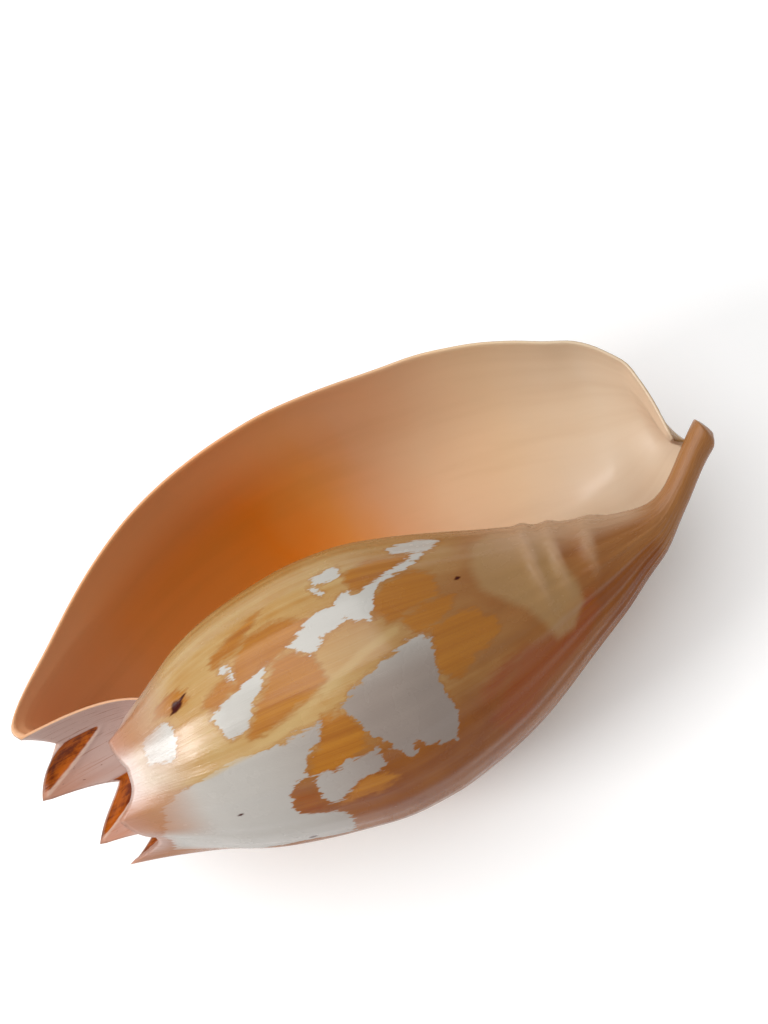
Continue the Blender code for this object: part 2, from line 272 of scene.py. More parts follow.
def spine_rise(turn):
    """Height that the spines add to the crown."""
    rise = np.zeros_like(turn)
    for tip, share in SPINES:
        side = np.where(turn < tip, (tip - turn) / SPINE_NEW_SIDE, (turn - tip) / SPINE_OLD_SIDE)
        curve = np.where(turn < tip, SPINE_NEW_CURVE, SPINE_OLD_CURVE)
        rise = np.maximum(rise, share * np.clip(1 - side, 0, 1) ** curve)
    dip_turn, dip_width, dip_depth = CROWN_DIP
    dip = dip_depth * np.exp(-(((turn - dip_turn) / dip_width) ** 2))
    return SPINE_HEIGHT * rise * scale_at(turn) ** 2.5 - dip


def outer_wall(turn, down, spines=1.0):
    """A point of the outer wall, with the spines raised by a share of their height."""
    radius, height = wall_profile(turn, down)
    height = height + spines * spine_rise(turn) * np.clip(1 - down / 0.10, 0, 1) ** 2
    return place(radius, height, turn)


def outer_normal(turn, down):
    """Unit normals of the outer wall, the spines left out."""
    along = outer_wall(turn + 0.004, down, 0) - outer_wall(turn - 0.004, down, 0)
    over = outer_wall(turn, down + 0.005, 0) - outer_wall(turn, down - 0.005, 0)
    normal = np.cross(over, along)
    return normal / np.linalg.norm(normal, axis=-1, keepdims=True)


def thickness(turn, down):
    """Thickness of the wall: thinner at the crown, at the lip's edge and where a whorl has little room."""
    radius, _ = wall_profile(turn, down)
    crown_radius, _ = wall_profile(turn, 0.0 * turn)
    crown = np.minimum(CROWN_WALL, 0.055 * crown_radius)
    room = radius * (0.42 - 0.20 * ease(down, 0.8, 0.95))
    wall = crown + (np.minimum(WALL, room) - crown) * ease(down, 0.0, 0.14)
    edge = LIP_EDGE + (WALL - LIP_EDGE) * ease(turn, 0.0, 0.05)
    return np.minimum(wall, edge)


def suture_edge(turn, depth):
    """The sheet's edge, resting on the outer wall of the whorl before it, at a depth from 0 to 1."""
    last = turn + 1
    step = outer_wall(last, SUTURE + 0.02, 0) - outer_wall(last, SUTURE, 0)
    per_down = np.linalg.norm(step, axis=-1) / 0.02
    down = SUTURE + depth * thickness(turn, 0.0 * turn) / per_down
    edge = outer_wall(last, down) + SEAM * outer_normal(last, down)
    closed = ease(turn, WHORLS - 1.0, WHORLS - 0.65)[..., None]
    radius, height = wall_profile(turn, 0.0 * turn)
    middle = place(0.0 * turn + 0.0004, height + APEX_RISE - depth * thickness(turn, 0.0 * turn), turn)
    return edge + (middle - edge) * closed


def ramp_bend(turn):
    """The corner that the ramp between suture and crown curves round."""
    foot = suture_edge(turn, 0.0)
    top = outer_wall(turn, 0.0 * turn, 0)
    level = (0.93 - 0.20 * ease(turn, 0.1, 0.9))[..., None]
    return foot + (top - foot) * np.concatenate([level, level, 0.27 + 0 * level], -1)


def sheet(turn, across, spines=1.0):
    """A point of the sheet's outside, or with fewer spines the surface that its hollow follows."""
    down = np.clip((across - CROWN) / (1 - CROWN), 0, 1)
    points = outer_wall(turn, down, spines)
    on_ramp = across < CROWN
    turn, up = turn[on_ramp], np.clip(across[on_ramp] / CROWN, 0, 1)[:, None]
    foot = suture_edge(turn, 0.0)
    top = outer_wall(turn, 0.0 * turn, 0)
    ramp = (1 - up) ** 2 * foot + 2 * up * (1 - up) * ramp_bend(turn) + up**2 * top
    rise = spines * spine_rise(turn)[:, None] * np.clip(1.6 * up - 0.6, 0, 1) ** 2
    points[on_ramp] = ramp + rise * np.array([0, 0, 1.0])
    return points


def outward(turn, across, spines=1.0):
    """Unit normals of the sheet, over a step long enough to soften the crown's fold."""
    along = sheet(turn + 0.006, across, spines) - sheet(turn - 0.006, across, spines)
    low, high = np.clip(across - 0.012, 0, 1), np.clip(across + 0.012, 0, 1)
    over = sheet(turn, high, spines) - sheet(turn, low, spines)
    normal = np.cross(over, along)
    return normal / np.linalg.norm(normal, axis=-1, keepdims=True)


def inside(turn, across):
    """The face of the sheet turned to the hollow."""
    down = np.clip((across - CROWN) / (1 - CROWN), 0, 1)
    inward = -thickness(turn, down)[:, None] * outward(turn, across, HOLLOW_SPINE)
    near = down < WALL_FILL_REACH
    inward[near] = crown_inward(turn[near], across[near], inward[near])
    return sheet(turn, across, HOLLOW_SPINE) + inward


def crown_inward(turn, across, inward):
    """From the outside to the inside near the crown's fold and at the suture."""
    down = np.clip((across - CROWN) / (1 - CROWN), 0, 1)
    up = np.clip(across / CROWN, 0, 1)
    wall = thickness(turn, down)[..., None]
    crown = outer_wall(turn, 0.0 * turn, HOLLOW_SPINE)
    ramp_side = ramp_bend(turn) - crown
    wall_side = outer_wall(turn, 0.0 * turn + 0.04, HOLLOW_SPINE) - crown
    fold = ramp_side / np.linalg.norm(ramp_side, axis=-1, keepdims=True)
    fold = fold + wall_side / np.linalg.norm(wall_side, axis=-1, keepdims=True)
    fold = fold / np.linalg.norm(fold, axis=-1, keepdims=True) * CROWN_FILL * wall
    away = np.where(across < CROWN, (1 - up) / RAMP_FILL_REACH, down / WALL_FILL_REACH)
    inward = fold + (inward - fold) * np.clip(away, 0, 1)[..., None]
    at_suture = suture_edge(turn, 1.0) - suture_edge(turn, 0.0)
    rested = (1 - ease(up, 0.0, 0.45))[..., None]
    return inward + (at_suture - inward) * rested


def spine_scoop(turn, across):
    """The hollow on the lip side of each spine and the ridge that bounds it, where a highlight is painted,
    each from 0 to 1.
    """
    scoop, ridge = np.zeros_like(turn), np.zeros_like(turn)
    up = np.clip(across / CROWN, 0, 1)
    for tip, _ in SPINES:
        side = (tip - turn) / SPINE_NEW_SIDE
        past_ridge = side - (1 - up) * RIDGE_SLANT
        within = ease(past_ridge, 0.0, 0.16) * (1 - ease(side, 0.92, 1.05))
        scoop = np.maximum(scoop, within)
        beside = (side > -0.1) * (1 - ease(side, 0.8, 1.1))
        ridge = np.maximum(ridge, np.exp(-((past_ridge / 0.07) ** 2)) * beside)
    return scoop * (across < CROWN), ridge * (across < CROWN)


def distance_inside(turn, across, outline):
    """Signed distance to an outline in metres along the wall, positive inside it."""
    points = np.stack([turn * TURN_LENGTH, across * ACROSS_LENGTH], -1)
    corners = np.array(outline) * (TURN_LENGTH, ACROSS_LENGTH)
    nearest = np.full(len(turn), 1.0)
    within = np.zeros(len(turn), bool)
    for a, b in zip(corners, np.roll(corners, -1, axis=0)):
        edge = b - a
        along = np.clip((points - a) @ edge / (edge @ edge), 0, 1)
        nearest = np.minimum(nearest, np.linalg.norm(points - a - along[:, None] * edge, axis=1))
        crosses = (a[1] > points[:, 1]) != (b[1] > points[:, 1])
        rise = np.where(abs(edge[1]) < 1e-9, 1e-9, edge[1])
        within ^= crosses & (points[:, 0] < a[0] + edge[0] * (points[:, 1] - a[1]) / rise)
    return np.where(within, nearest, -nearest)


def patch_field(turn, across, outlines, shown):
    """Signed distance to the nearest of some outlines, in units of PATCH_REACH, where shown is true."""
    field = np.full(len(turn), -1.0)
    for outline in outlines:
        inside_by = distance_inside(turn[shown], across[shown], outline)
        field[shown] = np.maximum(field[shown], inside_by / PATCH_REACH)
    return np.clip(field, -1, 1)


def line_field(turn, across, line, width):
    """1 on a line drawn on the wall, fading to 0 at the given width beside it."""
    points = np.stack([turn * TURN_LENGTH, across * ACROSS_LENGTH], -1)
    corners = np.array(line) * (TURN_LENGTH, ACROSS_LENGTH)
    nearest = np.full(len(turn), 1.0)
    for a, b in zip(corners[:-1], corners[1:]):
        edge = b - a
        along = np.clip((points - a) @ edge / (edge @ edge), 0, 1)
        nearest = np.minimum(nearest, np.linalg.norm(points - a - along[:, None] * edge, axis=1))
    return np.clip(1 - nearest / width, 0, 1)


def lying(points):
    """From the rolling position to the resting one, on a small flat worn into the shell's back."""
    turn_over = np.array(Euler([math.radians(a) for a in LYING_ANGLES], "XYZ").to_matrix())
    at_rest = points @ turn_over.T + np.array(FRONT_END)
    at_rest[:, 2] = np.maximum(at_rest[:, 2], 0.0)
    return at_rest


def sheet_slab():
    """The slab, drawn flat as a grid and given its depth, with every corner's shell coordinates."""
    slab = bmesh.new()
    bmesh.ops.create_grid(slab, x_segments=TURN_STEPS, y_segments=ACROSS_STEPS, size=0.5)
    grown = bmesh.ops.extrude_face_region(slab, geom=slab.faces[:])
    inner = [item for item in grown["geom"] if isinstance(item, bmesh.types.BMVert)]
    bmesh.ops.translate(slab, verts=inner, vec=(0, 0, 1))
    bmesh.ops.recalc_face_normals(slab, faces=slab.faces[:])
    rims = [e for e in slab.edges if abs(e.verts[0].co.z - e.verts[1].co.z) > 0.5]
    bmesh.ops.subdivide_edges(slab, edges=rims, cuts=2, use_grid_fill=True)
    corners = np.array([v.co for v in slab.verts])
    turn_lines = np.array(TURN_LINES, float).T
    across_lines = np.array(ACROSS_LINES, float).T
    turn = np.interp((corners[:, 0] + 0.5) * TURN_STEPS, turn_lines[0], turn_lines[1])
    across = np.interp((corners[:, 1] + 0.5) * ACROSS_STEPS, across_lines[0], across_lines[1])
    return slab, turn, across, corners[:, 2]


def rim_swell(turn, across, depth):
    """How far the middle of a cut edge stands out; make_shell uses it to round the lip."""
    between = 4 * depth * (1 - depth)
    down = np.clip((across - CROWN) / (1 - CROWN), 0, 1)
    return between * thickness(turn, down) * RIM_SWELL


def pleats(turn, across):
    """The slanting pleats on the columella, from 0 to 1."""
    ridges = np.zeros_like(turn)
    for middle in PLEATS:
        line = middle + PLEAT_SLANT * (turn - PLEAT_TURN)
        ridges = ridges + np.exp(-(((across - line) / PLEAT_WIDTH) ** 2))
    return ridges * ease(turn, 0.60, 0.78) * (1 - ease(turn, 1.15, 1.3))


def relief(turn, across, depth):
    """Height of the fine relief on the sheet, outwards. The inside is smooth."""
    waves = np.sin(turn * 150 + 2.1 * np.sin(across * 5.0)) + 0.6 * np.sin(turn * 263 + 1.3)
    settled = ease(across, 0.27, 0.34) * (1 - ease(across, 0.80, 0.93)) * ease(turn, 0.0, 0.04)
    height = GROWTH_WAVE * waves * settled * scale_at(turn)
    height = height + PLEAT_HEIGHT * pleats(turn, across)
    gap_turn = (turn - PIT[0]) * TURN_LENGTH
    gap_across = (across - PIT[1]) * ACROSS_LENGTH
    pit = np.exp(-(gap_turn**2 + gap_across**2) / PIT[2] ** 2)
    height = height - PIT_DEPTH * pit
    scoop, ridge = spine_scoop(turn, across)
    height = height + (SPINE_RIDGE * ridge - SPINE_HOLLOW * scoop) * scale_at(turn)
    return height * (depth < 0.5)


def make_shell():
    """The shell: the slab rolled up, with its relief, its rounded lip and its shell coordinates."""
    slab, turn, across, depth = sheet_slab()
    thick = depth[:, None]
    points = sheet(turn, across) * (1 - thick) + inside(turn, across) * thick
    normal = outward(turn, across)
    free = ease(across, 0.02, 0.08) * (1 - ease(turn, WHORLS - 1.0, WHORLS - 0.7))
    points = points + normal * (relief(turn, across, depth) * free)[:, None]
    swell = rim_swell(turn, across, depth)[:, None]
    forward = sheet(turn, across) - sheet(turn + 0.01, across)
    forward = forward / np.linalg.norm(forward, axis=-1, keepdims=True)
    points = points + forward * swell * (turn < 1e-6)[:, None]
    mesh = bpy.data.meshes.new("shell_wall")
    slab.to_mesh(mesh)
    slab.free()
    mesh.vertices.foreach_set("co", lying(points).astype(np.float32).ravel())
    mesh.update()
    shell_coordinates(mesh, turn, across, depth)
    patch_fields(mesh, turn, across, depth)
    for face in mesh.polygons:
        face.use_smooth = True
    shell = bpy.data.objects.new("shell_wall", mesh)
    bpy.context.collection.objects.link(shell)
    return shell


def shell_coordinates(mesh, turn, across, depth):
    """Keeps every corner's turn, across and depth, and turn and across as the wall's flat layout."""
    kept = mesh.attributes.new("place_on_sheet", "FLOAT_VECTOR", "POINT")
    kept.data.foreach_set("vector", np.stack([turn, across, depth], -1).astype(np.float32).ravel())
    layout = mesh.uv_layers.new(name="sheet_layout")
    corner_of = np.zeros(len(mesh.loops), np.int32)
    mesh.loops.foreach_get("vertex_index", corner_of)
    flat = np.stack([turn / WHORLS, across], -1)[corner_of]
    layout.data.foreach_set("uv", flat.astype(np.float32).ravel())


def patch_fields(mesh, turn, across, depth):
    """Keeps the distances to the patches, the ridges, the scars and the pleats with every corner."""
    outer = (depth < 0.5) & (turn > 0.4) & (turn < 1.05) & (across > 0.2)
    inner = (depth > 0.5) & (turn < 0.8) & (across > 0.7)
    patches = [patch_field(turn, across, group, outer)
               for group in (WHITE_PATCHES, GOLD_PATCHES, BROWN_PATCHES, GLAZE_PATCHES)]
    keep_colours(mesh, "patches", patches)
    ridge = line_field(turn, across, LIGHT_RIDGE, RIDGE_REACH) * outer
    scars = np.zeros(len(turn))
    for spot_turn, spot_across, radius in SPECKS + (PIT,):
        gap_turn = (turn - spot_turn) * TURN_LENGTH
        gap_across = (across - spot_across) * ACROSS_LENGTH
        scars = np.maximum(scars, np.exp(-(gap_turn**2 + gap_across**2) / (1.6 * radius) ** 2) * outer)
    strip = patch_field(turn, across, (TIP_STRIP,), inner)
    keep_colours(mesh, "marks", [ridge, scars, strip, 0 * turn + 1])
    rise = np.clip(spine_rise(turn) / (SPINE_HEIGHT * scale_at(turn) ** 2.5), 0, 1)
    scoop, spine_ridge = spine_scoop(turn, across)
    keep_colours(mesh, "crown_marks", [rise, scoop, spine_ridge, 0 * turn + 1])
    pleat = np.clip(pleats(turn, across), 0, 1) * (depth < 0.5)
    keep_colours(mesh, "pleats", [pleat, pleat, pleat, 0 * turn + 1])


def keep_colours(mesh, name, fields):
    """Keeps four values with every corner of the mesh."""
    kept = mesh.attributes.new(name, "FLOAT_COLOR", "POINT")
    kept.data.foreach_set("color", np.stack(fields, -1).astype(np.float32).ravel())


def tone(red, green, blue):
    """A colour from its usual 0 to 255 steps."""
    steps = [value / 255 for value in (red, green, blue)]
    return tuple(s / 12.92 if s <= 0.04045 else ((s + 0.055) / 1.055) ** 2.4 for s in steps) + (1.0,)


class Recipe:
    """Short names for adding the nodes of a material."""

    def __init__(self, owner):
        self.tree = owner.node_tree
        self.nodes = owner.node_tree.nodes

    def put(self, value, socket):
        """Links a node's output to the socket, or sets the socket to a plain value."""
        if hasattr(value, "is_output"):
            self.tree.links.new(value, socket)
        else:
            socket.default_value = value

    def math(self, how, a, b, c=0.0):
        node = self.nodes.new("ShaderNodeMath")
        node.operation = how
        for value, socket in zip((a, b, c), node.inputs):
            self.put(value, socket)
        return node.outputs[0]

    def times(self, a, b):
        return self.math("MULTIPLY", a, b)

    def plus(self, a, b):
        return self.math("ADD", a, b)

    def swing(self, value, size):
        """A noise's swing about its middle, made as large as size."""
        return self.times(self.math("SUBTRACT", value, 0.5), size)

    def less(self, value, share):
        """What is left of the value when that share of it is taken away."""
        return self.times(value, self.math("SUBTRACT", 1.0, share))

    def between(self, value, low, high, new_low=0.0, new_high=1.0, how="SMOOTHSTEP"):
        """The value's place between low and high, as a value from new_low to new_high."""
        node = self.nodes.new("ShaderNodeMapRange")
        node.interpolation_type = how
        self.put(value, node.inputs["Value"])
        self.put(low, node.inputs["From Min"])
        self.put(high, node.inputs["From Max"])
        self.put(new_low, node.inputs["To Min"])
        self.put(new_high, node.inputs["To Max"])
        return node.outputs["Result"]

    def mix(self, share, a, b):
        node = self.nodes.new("ShaderNodeMix")
        node.data_type = "RGBA"
        self.put(share, node.inputs[0])
        self.put(a, node.inputs[6])
        self.put(b, node.inputs[7])
        return node.outputs[2]

    def field(self, name):
        """The four values that keep_colours gave to the wall under a name."""
        node = self.nodes.new("ShaderNodeAttribute")
        node.attribute_name = name
        parts = self.nodes.new("ShaderNodeSeparateColor")
        self.tree.links.new(node.outputs["Color"], parts.inputs[0])
        return parts.outputs[0], parts.outputs[1], parts.outputs[2], node.outputs["Alpha"]

    def sheet_place(self):
        """Turn, across and depth."""
        node = self.nodes.new("ShaderNodeAttribute")
        node.attribute_name = "place_on_sheet"
        parts = self.nodes.new("ShaderNodeSeparateXYZ")
        self.tree.links.new(node.outputs["Vector"], parts.inputs[0])
        return parts.outputs[0], parts.outputs[1], parts.outputs[2]

    def vector(self, x, y, z):
        node = self.nodes.new("ShaderNodeCombineXYZ")
        for value, socket in zip((x, y, z), node.inputs):
            self.put(value, socket)
        return node.outputs[0]

    def noise(self, where, roughness, warp):
        node = self.nodes.new("ShaderNodeTexNoise")
        self.put(where, node.inputs["Vector"])
        node.inputs["Scale"].default_value = 1.0
        node.inputs["Detail"].default_value = 3.0
        node.inputs["Roughness"].default_value = roughness
        node.inputs["Distortion"].default_value = warp
        return node.outputs["Fac"]

    def ramp(self, value, stops):
        node = self.nodes.new("ShaderNodeValToRGB")
        self.put(value, node.inputs[0])
        held = node.color_ramp.elements
        while len(held) < len(stops):
            held.new(0.5)
        for stop, (position, colour) in zip(held, stops):
            stop.position = position
            stop.color = colour
        return node.outputs[0]


# Colours of the wall's outside
CREAM = tone(186, 156, 104)
OCHRE = tone(168, 116, 44)
TAN = tone(146, 86, 22)
CHESTNUT = tone(118, 54, 4)
# Painted reflection of the pale floor: the pinkish grey of the band where the back begins
FLOOR_REFLECTION_PINK = tone(136, 114, 104)
WHITE_GLAZE = tone(188, 186, 180)
# The white patches where they are duskier: partly their own dull glaze, partly painted shading
DUSKY_SHADED_GLAZE = tone(144, 132, 124)
GOLD = tone(176, 114, 26)
DEEP_GOLD = tone(146, 80, 8)
BROWN = tone(134, 50, 2)
GREY_GLAZE = tone(166, 134, 88)
COLUMELLA_GLAZE = tone(184, 148, 116)
FRONT_BROWN = tone(120, 72, 34)
FRONT_TAN = tone(176, 118, 58)
SCAR = tone(60, 14, 8)
# Colours of the crown and its ramp
CHALK = tone(196, 182, 172)
CHEEK_TAN = tone(186, 124, 74)
CHEEK_BROWN = tone(150, 92, 52)
ROSE = tone(194, 166, 156)
ROSE_LINE = tone(150, 100, 76)
SPINE_BROWN = tone(152, 84, 36)
SPINE_PINK = tone(196, 134, 104)
# Painted highlight along the ridge that bounds each spine's hollow
SPINE_RIDGE_HIGHLIGHT = tone(206, 178, 160)
HOLLOW_ORANGE = tone(172, 86, 16)
HOLLOW_BROWN = tone(104, 40, 8)
CROWN_SPOT = tone(92, 44, 24)
# Colours of the inside, from the crown to the front end
INSIDE_COLOURS = (
    (0.18, tone(218, 166, 134)),
    (0.26, tone(224, 156, 104)),
    (0.34, tone(234, 148, 72)),
    (0.44, tone(236, 142, 54)),
    (0.50, tone(238, 134, 36)),
    (0.56, tone(236, 154, 74)),
    (0.61, tone(234, 176, 128)),
    (0.68, tone(232, 192, 152)),
    (0.76, tone(228, 196, 158)),
    (0.86, tone(220, 198, 170)),
    (1.00, tone(212, 186, 158)),
)
LIP_PEACH = tone(234, 176, 132)
STRIP_BROWN = tone(150, 92, 36)
STRIP_TAN = tone(186, 132, 84)


def sheet_noise(r, turn, across, along, over, seed, roughness=0.6, warp=0.0):
    """Noise on the sheet: how fine it is along the whorl and across it."""
    where = r.vector(r.times(turn, along), r.times(across, over), seed)
    return r.noise(where, roughness, warp)


def streaks(r, turn, across, along, over, seed):
    """Noise with slightly wavy edges, for what is drawn out along the growth lines."""
    return sheet_noise(r, turn, across, along, over, seed, warp=0.3)


def growth_lines(r, turn, across):
    """The streaks left by growth, calmer towards the front end."""
    fine = streaks(r, turn, across, 420.0, 3.0, 0.0)
    medium = streaks(r, turn, across, 90.0, 2.0, 4.0)
    lines = r.plus(r.times(fine, 0.4), r.times(medium, 0.6))
    strength = r.between(across, 0.48, 0.68, 0.85, 0.30)
    return r.plus(r.swing(lines, strength), 0.5)


def ground_colour(r, turn, across, lines, broad):
    """The ground under the patches: cream by the crown, browner towards the front end and down the round
    side (partly its own colour, partly painted shading), and a painted pinkish-grey reflection of the floor
    where the back begins.
    """
    mottled = r.plus(r.times(lines, 0.5), r.times(broad, 0.6))
    streak = r.between(mottled, 0.36, 0.78)
    light = r.mix(streak, CREAM, OCHRE)
    # The browner ground of the front end and the round side: partly the shell's own browner colour, partly
    # painted shading where less light falls
    dark = r.mix(streak, TAN, CHESTNUT)
    forward = r.times(r.between(across, 0.44, 0.70), 0.85)
    round_side = r.between(r.plus(turn, r.times(across, -0.10)), 0.66, 0.54)
    browning_and_shading = r.math("MAXIMUM", forward, round_side)
    # By the mouth and round the hidden back there is less of this browning and painted shading
    by_the_mouth = r.times(r.between(turn, 0.76, 0.86), r.between(across, 0.70, 0.60))
    browning_and_shading = r.less(browning_and_shading, r.times(by_the_mouth, 0.7))
    back = r.between(turn, 0.50, 0.36)
    browning_and_shading = r.less(browning_and_shading, r.times(back, 0.7))
    # Painted reflection of the floor: a pinkish-grey band where the back begins
    floor_reflection = r.times(r.between(turn, 0.50, 0.45), r.between(turn, 0.34, 0.44))
    return r.mix(r.times(floor_reflection, 0.6), r.mix(browning_and_shading, light, dark), FLOOR_REFLECTION_PINK)


def crown_colour(r, turn, across):
    """Rosy white with brown growth lines on the ramp, an orange-brown hollow in front of each spine, and a
    painted highlight along the ridge that bounds each hollow.
    """
    crown_rise, scoop, ridge_highlight, _ = r.field("crown_marks")
    fan = streaks(r, turn, across, 230.0, 12.0, 5.0)
    colour = r.mix(r.between(fan, 0.54, 0.70, 0.0, 0.7), ROSE, ROSE_LINE)
    tipped = r.times(r.between(crown_rise, 0.15, 0.8), r.between(across, 0.17, 0.24))
    colour = r.mix(r.times(tipped, 0.7), colour, r.mix(fan, SPINE_BROWN, SPINE_PINK))
    cloudy = sheet_noise(r, turn, across, 40.0, 50.0, 4.0)
    burnt = r.plus(r.times(fan, 0.35), r.times(cloudy, 0.65))
    hollow = r.mix(r.between(burnt, 0.40, 0.62), HOLLOW_ORANGE, HOLLOW_BROWN)
    colour = r.mix(r.between(scoop, 0.08, 0.4), colour, hollow)
    # Painted highlight along the ridge beside each hollow
    colour = r.mix(r.times(r.between(ridge_highlight, 0.3, 0.9), 0.6), colour, SPINE_RIDGE_HIGHLIGHT)
    spots = sheet_noise(r, turn, across, 120.0, 120.0, 2.0, roughness=0.7)
    return r.mix(r.between(spots, 0.66, 0.74, 0.0, 0.8), colour, CROWN_SPOT)


def patch_shares(r, turn, across, distance, jag, seed, size, softness):
    """How fully a kind of patch covers the wall, and its darker outline.

    The patches have outlines on the side of the mouth only. Round the shell's back, blotches stand in.
    """
    blotched = r.math("MAXIMUM", r.between(turn, 0.50, 0.42), r.between(turn, 0.98, 1.04))
    blotch = r.between(streaks(r, turn, across, 9.0, 11.0, seed), size, size + 0.14, -1.0, 1.0, "LINEAR")
    edge = r.plus(r.plus(r.less(distance, blotched), r.times(blotch, blotched)), jag)
    outline = r.times(r.between(edge, -0.34, -0.08), 0.35)
    return r.between(edge, -softness, softness), outline


def patched(r, turn, across, colour, lines, jag):
    """Streaked gold patches, soft brown ones and chalky white ones, in the order in which they lie."""
    white, gold, brown, _ = r.field("patches")
    share, outline = patch_shares(r, turn, across, gold, jag, 11.0, 0.47, 0.22)
    colour = r.mix(outline, colour, TAN)
    colour = r.mix(r.times(share, 0.88), colour, r.mix(r.between(lines, 0.32, 0.72), GOLD, DEEP_GOLD))
    share, _ = patch_shares(r, turn, across, brown, jag, 23.0, 0.56, 0.7)
    colour = r.mix(r.times(share, 0.9), colour, r.mix(r.between(lines, 0.40, 0.60), DEEP_GOLD, BROWN))
    share, outline = patch_shares(r, turn, across, white, jag, 37.0, 0.50, 0.08)
    # The white patches grow duskier towards the front and down the round side: partly their own dull glaze,
    # partly painted shading
    dusky_and_shaded = r.times(r.between(turn, 0.75, 0.68), r.between(across, 0.34, 0.50, 0.25, 1.0))
    dusky_and_shaded = r.times(dusky_and_shaded, r.between(turn, 0.38, 0.46))
    colour = r.mix(outline, colour, TAN)
    return r.mix(r.times(share, 0.94), colour, r.mix(dusky_and_shaded, WHITE_GLAZE, DUSKY_SHADED_GLAZE))


def glazed_front(r, turn, across, colour, broad, ragged, jag):
    """The grey film and the pale fan beside the columella, its pleats, and the browned front end."""
    _, _, _, glaze = r.field("patches")
    film = r.between(r.plus(glaze, r.times(jag, 0.4)), -0.4, 0.6)
    colour = r.mix(r.times(film, 0.6), colour, GREY_GLAZE)
    fan = r.between(r.plus(r.between(turn, 0.68, 0.90), r.swing(broad, 0.5)), 0.25, 0.95)
    fan = r.times(fan, r.between(across, 0.64, 0.74))
    colour = r.mix(r.times(fan, 0.8), colour, COLUMELLA_GLAZE)
    front_edge = r.plus(across, r.swing(ragged, 0.05))
    front = r.times(r.between(front_edge, 0.855, 0.880), r.between(turn, 0.40, 0.55))
    colour = r.mix(r.times(front, 0.85), colour, r.mix(ragged, FRONT_BROWN, FRONT_TAN))
    light_ridge, _, _, _ = r.field("marks")
    colour = r.mix(r.times(r.between(light_ridge, 0.1, 0.8), 0.55), colour, CREAM)
    pleat, _, _, _ = r.field("pleats")
    rays = r.times(r.between(pleat, 0.15, 1.0), r.between(broad, 0.30, 0.6, 0.3, 0.65))
    return r.mix(rays, colour, COLUMELLA_GLAZE)


def shoulder(r, turn, across, colour, lines):
    """A chalky band under the crown, browned below each spine."""
    crown_rise, _, _, _ = r.field("crown_marks")
    chalky = r.times(r.between(across, 0.33, 0.25), r.between(turn, 0.56, 0.66))
    colour = r.mix(r.times(chalky, 0.55), colour, CHALK)
    cheek = r.times(r.between(crown_rise, 0.04, 0.5), r.between(across, 0.31, 0.25))
    return r.mix(r.times(cheek, 0.8), colour, r.mix(lines, CHEEK_TAN, CHEEK_BROWN))


def outside_colour(r, turn, across, lines):
    """The outside of the wall: ground, patches, front, shoulder, scars and crown."""
    broad = streaks(r, turn, across, 12.0, 8.0, 7.0)
    ragged = streaks(r, turn, across, 210.0, 60.0, 3.7)
    jag = r.swing(ragged, 1.2)
    colour = ground_colour(r, turn, across, lines, broad)
    colour = patched(r, turn, across, colour, lines, jag)
    colour = glazed_front(r, turn, across, colour, broad, ragged, jag)
    colour = shoulder(r, turn, across, colour, lines)
    _, scars, _, _ = r.field("marks")
    colour = r.mix(r.between(scars, 0.25, 0.6), colour, SCAR)
    return r.mix(r.between(across, 0.262, 0.236), colour, crown_colour(r, turn, across))


def inside_colour(r, turn, across):
    """A smooth porcelain blush: saturated orange by the crown, peach and cream towards the front end."""
    soft = sheet_noise(r, turn, across, 7.0, 9.0, 1.5, roughness=0.5)
    faint = sheet_noise(r, turn, across, 60.0, 5.0, 2.5, roughness=0.5)
    colour = r.ramp(r.plus(across, r.swing(soft, 0.09)), INSIDE_COLOURS)
    colour = r.mix(r.between(faint, 0.4, 0.75, 0.0, 0.10), colour, OCHRE)
    near_lip = r.times(r.between(turn, 0.09, 0.0), r.between(across, 0.76, 0.60))
    colour = r.mix(r.times(near_lip, 0.6), colour, LIP_PEACH)
    _, _, strip, _ = r.field("marks")
    flecks = sheet_noise(r, turn, across, 90.0, 90.0, 8.0)
    fold = r.mix(r.between(flecks, 0.3, 0.7), STRIP_BROWN, STRIP_TAN)
    return r.mix(r.between(r.plus(strip, r.swing(flecks, 0.5)), -0.06, 0.06), colour, fold)


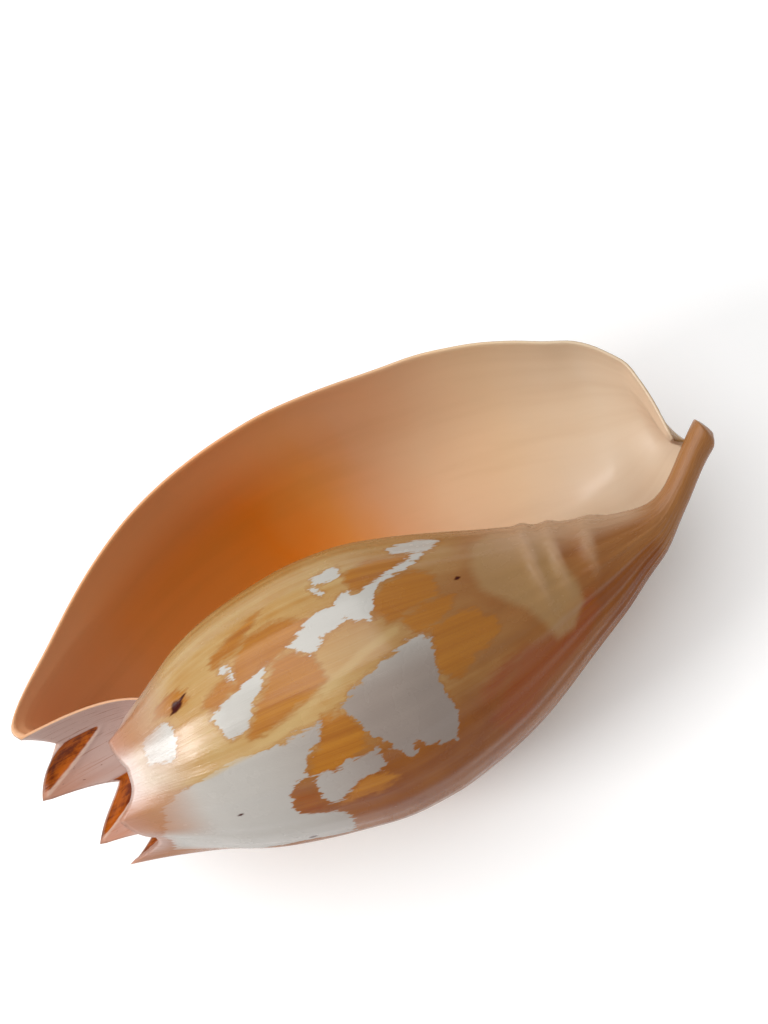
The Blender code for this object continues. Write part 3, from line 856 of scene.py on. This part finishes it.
def shell_porcelain():
    """The shell's own wall: glossy on the side of the mouth, duller round the back, smooth within."""
    material = bpy.data.materials.new("shell_porcelain")
    material.use_nodes = True
    r = Recipe(material)
    surface = material.node_tree.nodes["Principled BSDF"]
    turn, across, depth = r.sheet_place()
    inner = r.between(depth, 0.05, 0.30)
    lines = growth_lines(r, turn, across)
    colour = r.mix(inner, outside_colour(r, turn, across, lines), inside_colour(r, turn, across))
    lip_edge = r.times(r.between(turn, 0.003, 0.0), r.between(depth, 0.95, 0.7))
    r.put(r.mix(r.times(lip_edge, 0.15), colour, CREAM), surface.inputs["Base Color"])
    worn = sheet_noise(r, turn, across, 20.0, 24.0, 6.0)
    rough_out = r.plus(r.between(worn, 0.3, 0.75, 0.16, 0.34), r.between(across, 0.27, 0.22, 0.0, 0.18))
    rough_in = r.between(worn, 0.3, 0.75, 0.34, 0.46)
    r.put(r.mix(inner, rough_out, rough_in), surface.inputs["Roughness"])
    _, scars, _, _ = r.field("marks")
    glossy = r.math("MAXIMUM", r.between(turn, 0.54, 0.72), inner)
    glossy = r.times(glossy, r.between(scars, 0.5, 0.2))
    r.put(r.between(glossy, 0.0, 1.0, 0.12, 0.5), surface.inputs["Specular IOR Level"])
    r.put(r.between(glossy, 0.0, 1.0, 0.02, 0.16), surface.inputs["Coat Weight"])
    surface.inputs["Coat Roughness"].default_value = 0.16
    grain = streaks(r, turn, across, 700.0, 12.0, 9.0)
    height = r.times(r.plus(lines, r.times(grain, 0.4)), r.between(inner, 0.0, 1.0, 1.0, 0.12))
    bump = r.nodes.new("ShaderNodeBump")
    bump.inputs["Strength"].default_value = 0.35
    bump.inputs["Distance"].default_value = 0.0004
    r.put(height, bump.inputs["Height"])
    r.put(bump.outputs["Normal"], surface.inputs["Normal"])
    return material


def floor_paper():
    """White paper that glows a little more the further it is from the shell, so that it stays pale."""
    material = bpy.data.materials.new("floor_paper")
    material.use_nodes = True
    surface = material.node_tree.nodes["Principled BSDF"]
    surface.inputs["Base Color"].default_value = (0.92, 0.92, 0.92, 1)
    surface.inputs["Roughness"].default_value = 0.8
    surface.inputs["Emission Color"].default_value = (1, 1, 1, 1)
    r = Recipe(material)
    away = r.nodes.new("ShaderNodeVectorMath")
    away.operation = "LENGTH"
    r.put(r.nodes.new("ShaderNodeTexCoord").outputs["Object"], away.inputs[0])
    glow = r.between(away.outputs["Value"], *FLOOR_GLOW_REACH, *FLOOR_GLOW)
    r.put(glow, surface.inputs["Emission Strength"])
    return material


def make_floor():
    """A wide pale floor under the shell."""
    sketch = bmesh.new()
    bmesh.ops.create_grid(sketch, x_segments=1, y_segments=1, size=FLOOR_HALF_WIDTH)
    mesh = bpy.data.meshes.new("floor")
    sketch.to_mesh(mesh)
    sketch.free()
    floor = bpy.data.objects.new("floor", mesh)
    bpy.context.collection.objects.link(floor)
    floor.data.materials.append(floor_paper())
    return floor


def add_light(name, azimuth, elevation, distance, width, height, power):
    """A rectangular soft light, aimed at the shell from a direction about it."""
    lamp = bpy.data.lights.new(name, "AREA")
    lamp.shape = "RECTANGLE"
    lamp.size = width
    lamp.size_y = height
    lamp.energy = power
    light = bpy.data.objects.new(name, lamp)
    bpy.context.collection.objects.link(light)
    a, e = math.radians(azimuth), math.radians(elevation)
    away = Vector((math.cos(a) * math.cos(e), math.sin(a) * math.cos(e), math.sin(e)))
    light.location = Vector(LIGHTS_AIM) + away * distance
    light.rotation_euler = away.to_track_quat("Z", "Y").to_euler()


def pale_air():
    """White surroundings, paler to look at than the light that they cast."""
    world = bpy.data.worlds.new("studio")
    world.use_nodes = True
    r = Recipe(world)
    background = world.node_tree.nodes["Background"]
    background.inputs["Color"].default_value = (1, 1, 1, 1)
    seen = r.nodes.new("ShaderNodeLightPath").outputs["Is Camera Ray"]
    r.put(r.between(seen, 0.0, 1.0, AIR_LIGHT, AIR_SEEN), background.inputs["Strength"])
    bpy.context.scene.world = world


def studio():
    """Pale surroundings, a window on the crown side, a broad light overhead, and the camera above."""
    pale_air()
    add_light("window", 180.0, 34.0, 1.5, 0.55, 0.40, 12.0)
    add_light("overhead", 100.0, 78.0, 1.6, 2.0, 2.0, 21.5)
    lens = bpy.data.cameras.new("camera")
    lens.lens = CAMERA_LENS
    lens.clip_start = 0.01
    camera = bpy.data.objects.new("camera", lens)
    camera.location = CAMERA_PLACE
    camera.rotation_euler = [math.radians(a) for a in CAMERA_TURNS]
    bpy.context.collection.objects.link(camera)
    bpy.context.scene.camera = camera
    bpy.context.scene.view_settings.view_transform = "Standard"


shell = make_shell()
shell.data.materials.append(shell_porcelain())
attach(shell, "root")
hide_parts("shell")
make_floor()
studio()
